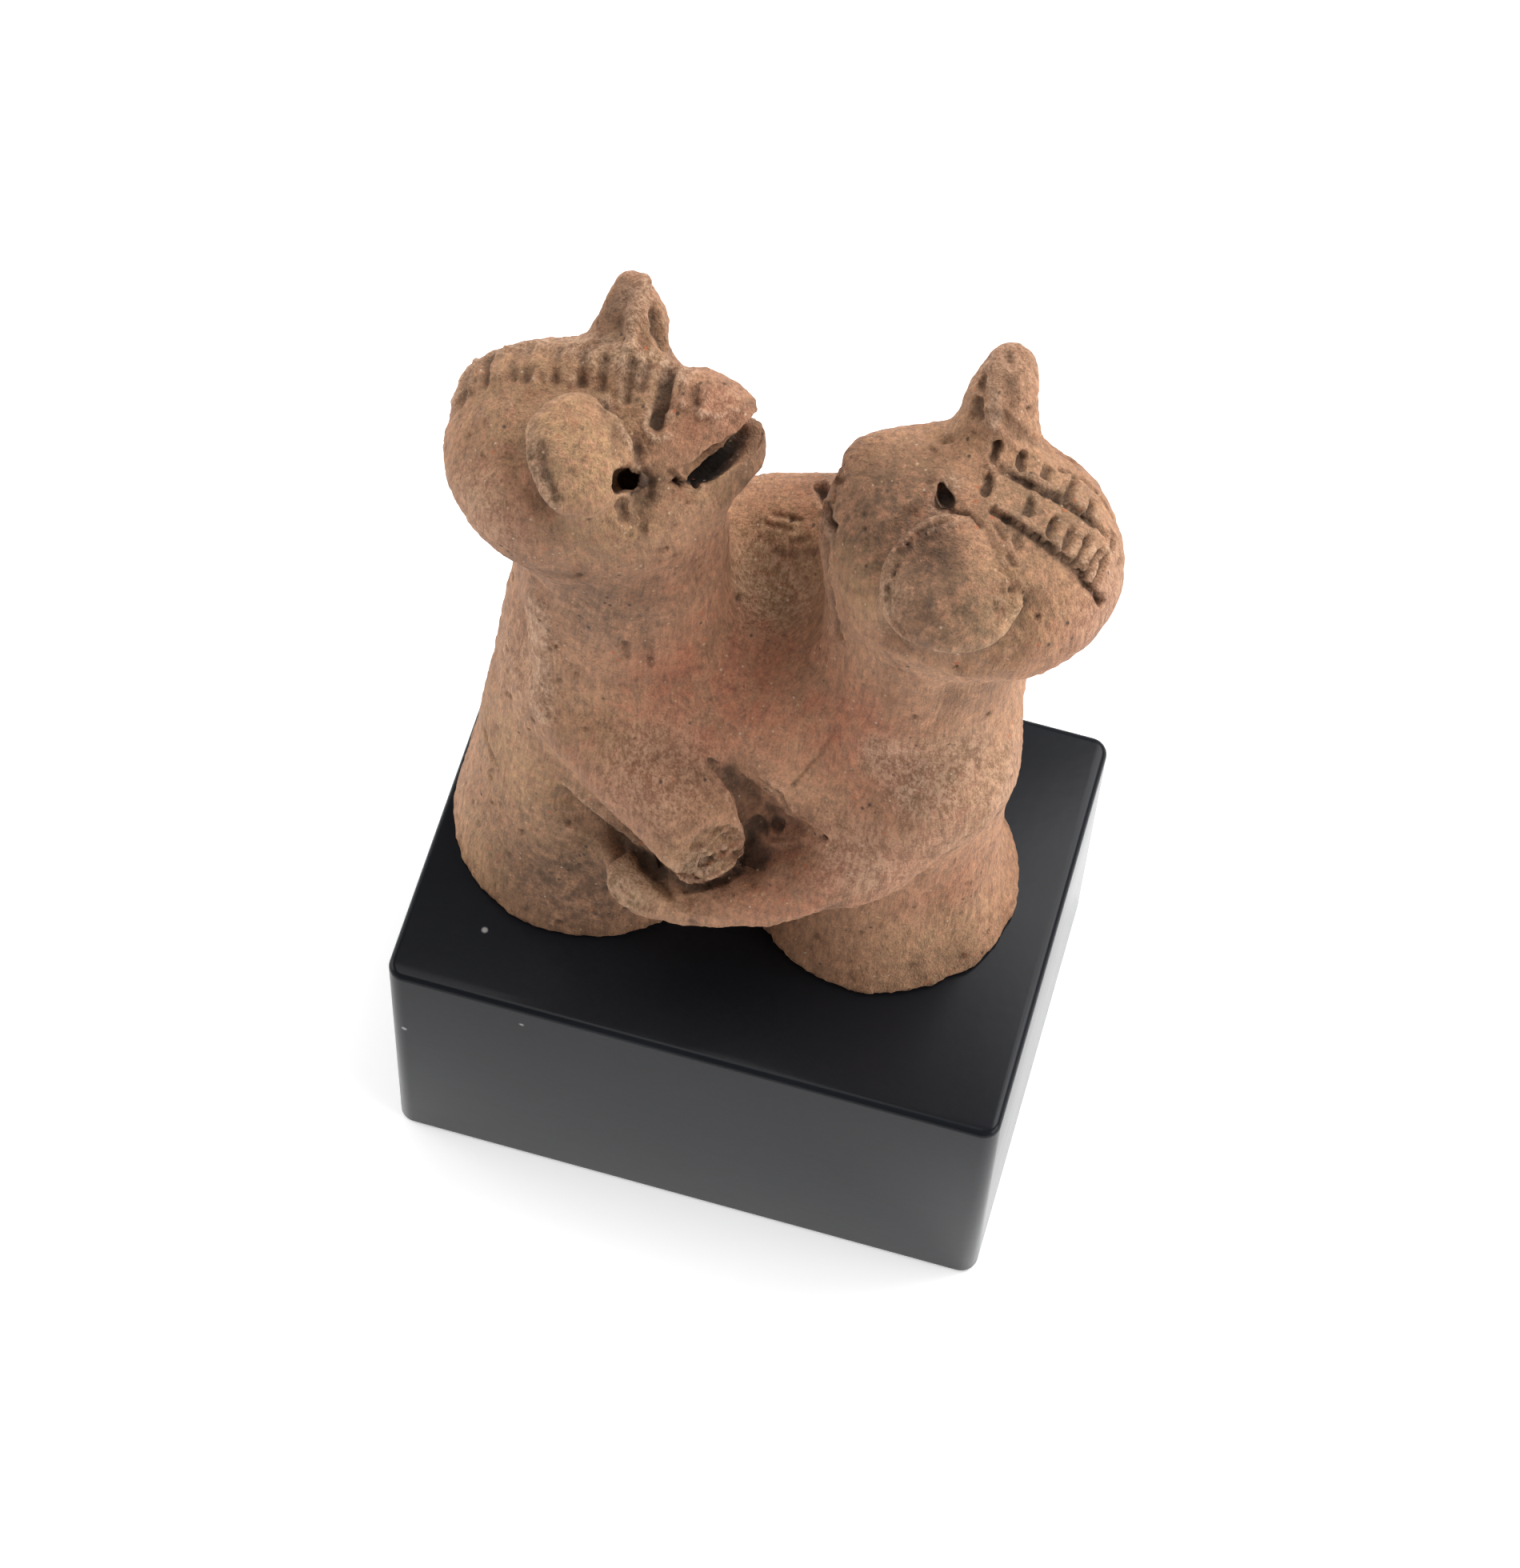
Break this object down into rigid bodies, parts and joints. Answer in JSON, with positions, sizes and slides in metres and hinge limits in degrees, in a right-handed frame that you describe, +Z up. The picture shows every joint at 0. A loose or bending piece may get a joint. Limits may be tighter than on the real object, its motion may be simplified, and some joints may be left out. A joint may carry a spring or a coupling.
{
  "type": "terracotta double figure",
  "caption": "Hand-modelled terracotta pair of animal-faced figures hugging face to face, on a rectangular black wooden plinth.",
  "frame": {"origin": "middle of the plinth's underside", "axes": "+X along the plinth from the left figure to the right one, +Y to the back, +Z up"},
  "size_m": [0.076, 0.056, 0.1429],
  "materials": {
    "terracotta": "matte, unglazed, gritty",
    "black_lacquer": "satin black lacquer"
  },
  "bodies": {
    "root": {"embracing_figures": "terracotta", "plinth": "black_lacquer"}
  },
  "joints": []
}
